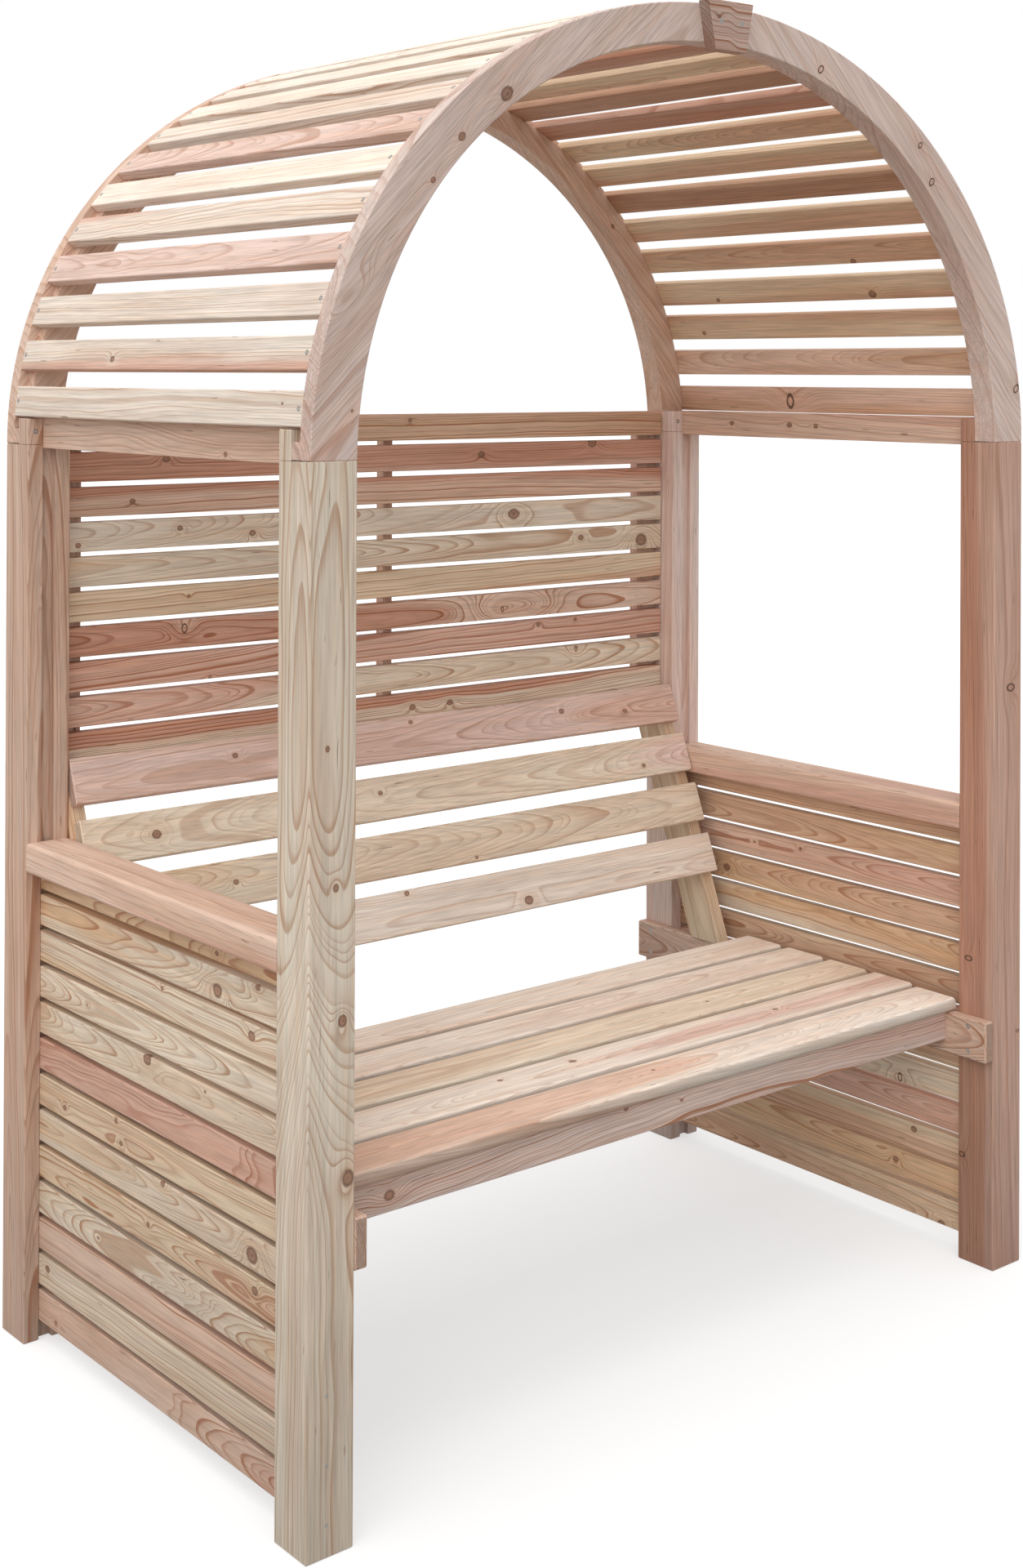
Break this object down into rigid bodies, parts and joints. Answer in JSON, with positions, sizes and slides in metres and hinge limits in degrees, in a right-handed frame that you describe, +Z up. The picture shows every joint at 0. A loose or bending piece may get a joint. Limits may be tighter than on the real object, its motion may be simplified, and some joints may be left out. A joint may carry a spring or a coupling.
{
  "type": "arbour seat",
  "caption": "Wooden garden arbour seat: a slatted bench with a leaning backrest and armrests between slatted side panels, under an arched slatted roof.",
  "frame": {"origin": "on the ground, under the middle of the seat's outer box", "axes": "+X to the right of someone facing the seat's open front from outside, +Y from the front to the rear, +Z up"},
  "size_m": [1.388, 0.856, 1.958],
  "materials": {
    "post_wood": "planed pinkish softwood",
    "arch_wood": "planed softwood, grain across the curve",
    "keystone_wood": "planed pale softwood",
    "roof_wood": "planed cream softwood",
    "panel_wood": "planed cream and pink softwood",
    "armrest_wood": "planed softwood, eased edges",
    "rail_wood": "planed pinkish softwood",
    "seat_wood": "planed softwood, rounded edges",
    "backrest_wood": "planed cream and pink softwood",
    "screw_steel": "zinc-plated screw heads"
  },
  "bodies": {
    "root": {"front_left_post": "post_wood", "front_right_post": "post_wood", "rear_left_post": "post_wood", "rear_right_post": "post_wood", "front_arch_left": "arch_wood", "front_arch_right": "arch_wood", "front_keystone": "keystone_wood", "rear_arch_left": "arch_wood", "rear_arch_right": "arch_wood", "rear_keystone": "keystone_wood", "roof_slat_01": "roof_wood", "roof_slat_02": "roof_wood", "roof_slat_03": "roof_wood", "roof_slat_04": "roof_wood", "roof_slat_05": "roof_wood", "roof_slat_06": "roof_wood", "roof_slat_07": "roof_wood", "roof_slat_08": "roof_wood", "roof_slat_09": "roof_wood", "roof_slat_10": "roof_wood", "roof_slat_11": "roof_wood", "roof_slat_12": "roof_wood", "roof_slat_13": "roof_wood", "roof_slat_14": "roof_wood", "roof_slat_15": "roof_wood", "roof_slat_16": "roof_wood", "roof_slat_17": "roof_wood", "roof_slat_18": "roof_wood", "roof_slat_19": "roof_wood", "roof_slat_20": "roof_wood", "roof_slat_21": "roof_wood", "roof_slat_22": "roof_wood", "roof_slat_23": "roof_wood", "roof_slat_24": "roof_wood", "roof_slat_25": "roof_wood", "roof_slat_26": "roof_wood", "roof_slat_27": "roof_wood", "roof_slat_28": "roof_wood", "roof_slat_29": "roof_wood", "left_side_slats": "panel_wood", "left_armrest": "armrest_wood", "left_top_rail": "rail_wood", "right_side_slats": "panel_wood", "right_armrest": "armrest_wood", "right_top_rail": "rail_wood", "back_panel": "panel_wood", "seat_board_1": "seat_wood", "seat_board_2": "seat_wood", "seat_board_3": "seat_wood", "seat_board_4": "seat_wood", "seat_board_5": "seat_wood", "left_seat_bearer": "rail_wood", "right_seat_bearer": "rail_wood", "seat_apron": "rail_wood", "backrest_board_1": "backrest_wood", "backrest_board_2": "backrest_wood", "backrest_board_3": "backrest_wood", "backrest_board_4": "backrest_wood", "left_backrest_upright": "backrest_wood", "right_backrest_upright": "backrest_wood"}
  },
  "joints": []
}
